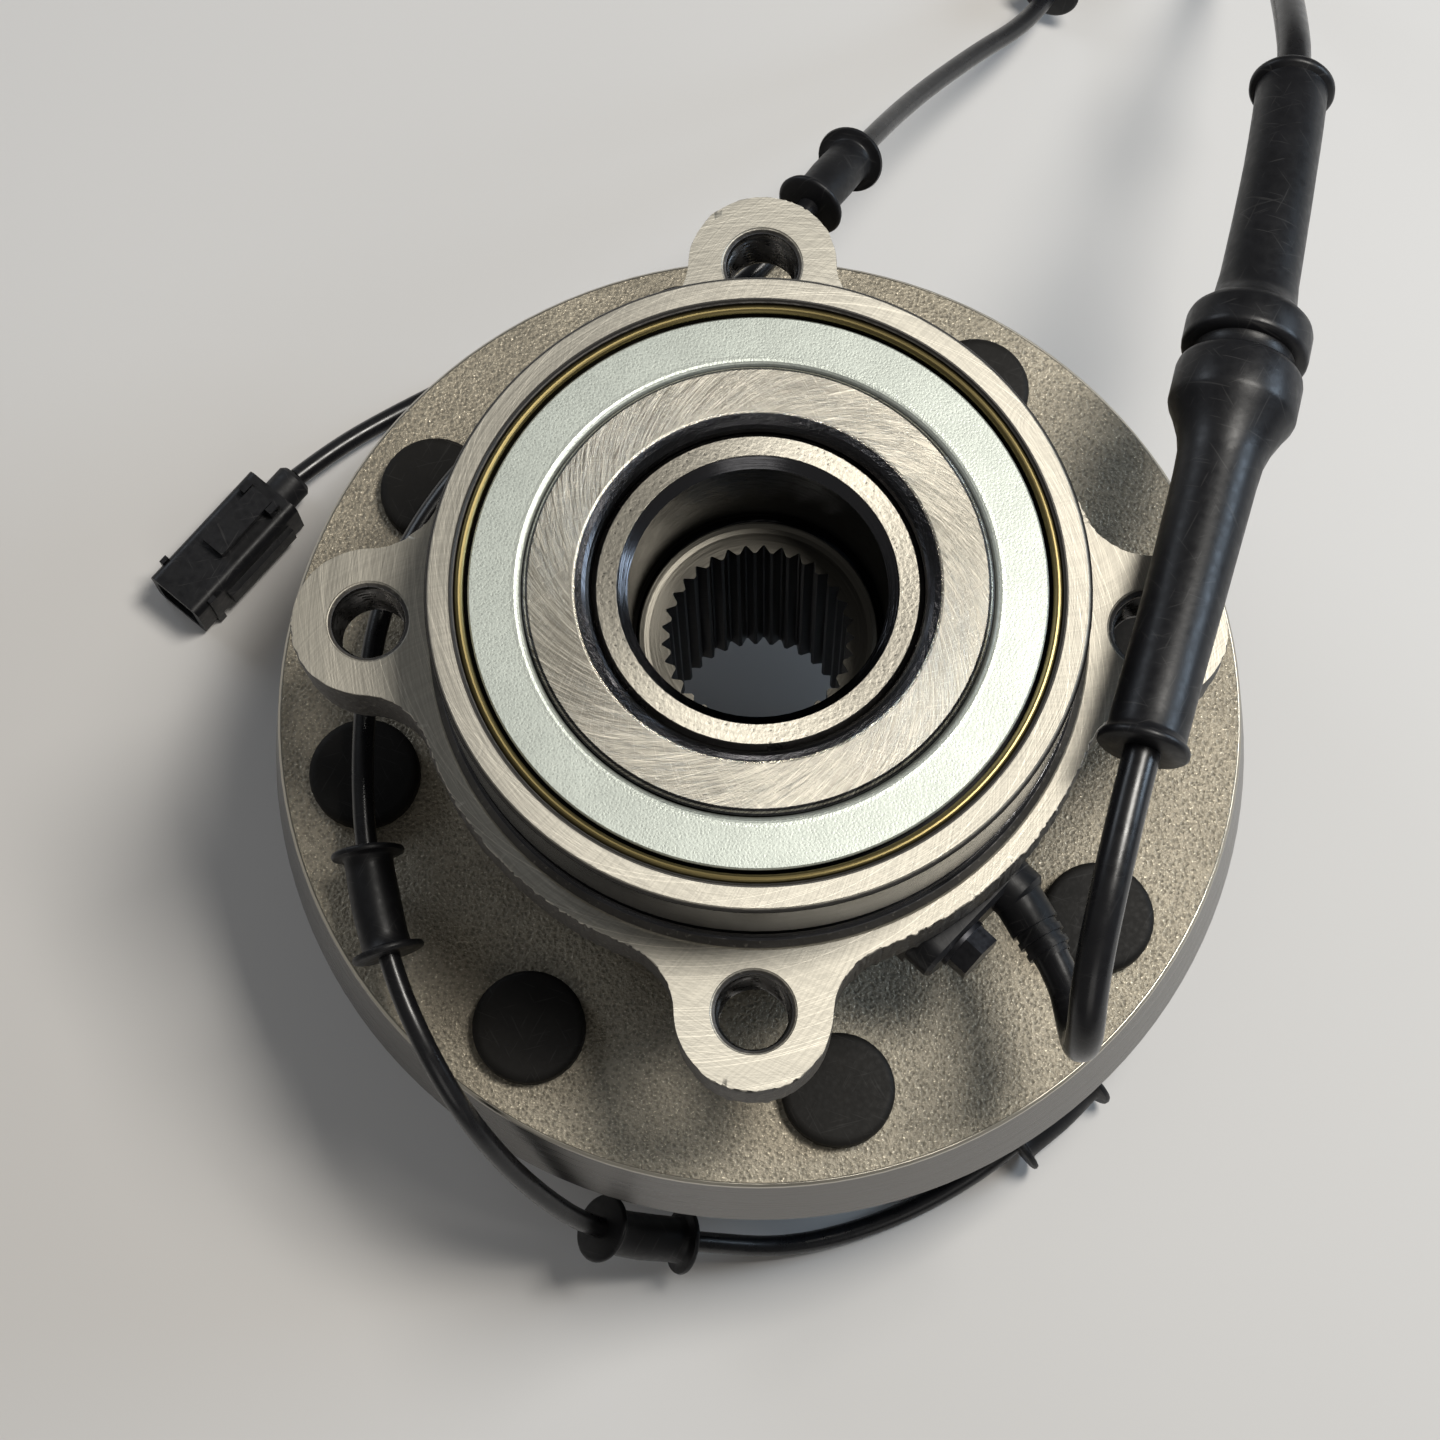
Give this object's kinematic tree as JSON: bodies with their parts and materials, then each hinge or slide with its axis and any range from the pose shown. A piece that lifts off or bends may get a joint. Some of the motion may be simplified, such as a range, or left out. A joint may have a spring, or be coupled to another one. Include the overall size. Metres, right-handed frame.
{
  "type": "wheel hub bearing",
  "caption": "Flanged wheel hub unit with tapered roller rows, splined bore, lobed mounting flange, wheel studs and a wired speed sensor.",
  "frame": {"origin": "on the spin axis, at the plane of the wheel stud tips", "axes": "+Z along the spin axis towards the inboard (knuckle) side; +X and +Y through mounting ears"},
  "size_m": [0.2588, 0.3408, 0.1478],
  "materials": {
    "machined_steel": "turned and milled, light scratches",
    "forged_steel": "shot-blasted forging, machined rim",
    "black_phosphate": "dull phosphate",
    "ground_steel": "ground",
    "pressed_steel": "pressed sheet",
    "brass_plate": "polished",
    "zinc_plate": "satin zinc plate",
    "black_rubber": "satin",
    "black_plastic": "moulded",
    "pin_tin": "tinned"
  },
  "bodies": {
    "outer_race": {"outer_ring": "machined_steel", "inboard_seal_case": "brass_plate", "inboard_seal_lip": "black_rubber", "outboard_seal_case": "zinc_plate", "outboard_seal_lip": "black_rubber", "sensor_body": "black_plastic", "sensor_bolt": "black_phosphate", "sensor_o_ring": "black_rubber", "sensor_strain_relief": "black_rubber", "sensor_sleeve": "black_rubber", "frame_boot": "black_rubber", "splice_collar": "black_rubber", "sensor_lead": "black_rubber", "connector_housing": "black_plastic", "connector_seal": "black_rubber", "connector_pins": "pin_tin", "grommet_1": "black_rubber", "grommet_2": "black_rubber", "grommet_3": "black_rubber", "grommet_4": "black_rubber", "grommet_5": "black_rubber"},
    "hub": {"hub_flange": "forged_steel", "wheel_studs": "black_phosphate", "inboard_inner_ring": "ground_steel", "outboard_inner_ring": "ground_steel", "tone_ring": "pressed_steel", "inboard_slinger": "zinc_plate"},
    "inboard_row": {"inboard_rollers": "ground_steel", "inboard_cage": "pressed_steel"},
    "outboard_row": {"outboard_rollers": "ground_steel", "outboard_cage": "pressed_steel"},
    "latch": {"connector_latch": "black_plastic"}
  },
  "joints": [
    {"name": "hub_spin", "type": "hinge", "parent": "outer_race", "child": "hub", "pos_m": [0, 0, 0.1], "axis": [0, 0, 1], "continuous": true},
    {"name": "inboard_row_spin", "type": "hinge", "parent": "outer_race", "child": "inboard_row", "pos_m": [0, 0, 0.1281], "axis": [0, 0, 1], "continuous": true},
    {"name": "outboard_row_spin", "type": "hinge", "parent": "outer_race", "child": "outboard_row", "pos_m": [0, 0, 0.0896], "axis": [0, 0, 1], "continuous": true},
    {"name": "latch_press", "type": "hinge", "parent": "outer_race", "child": "latch", "pos_m": [-0.11636, 0.06368, 0.0157], "axis": [0.7746, -0.6325, 0], "range_deg": [0, 4.5]}
  ],
  "couplings": [
    {"joint": "inboard_row_spin", "follows": "hub_spin", "ratio": 0.44413},
    {"joint": "outboard_row_spin", "follows": "hub_spin", "ratio": 0.44413}
  ]
}
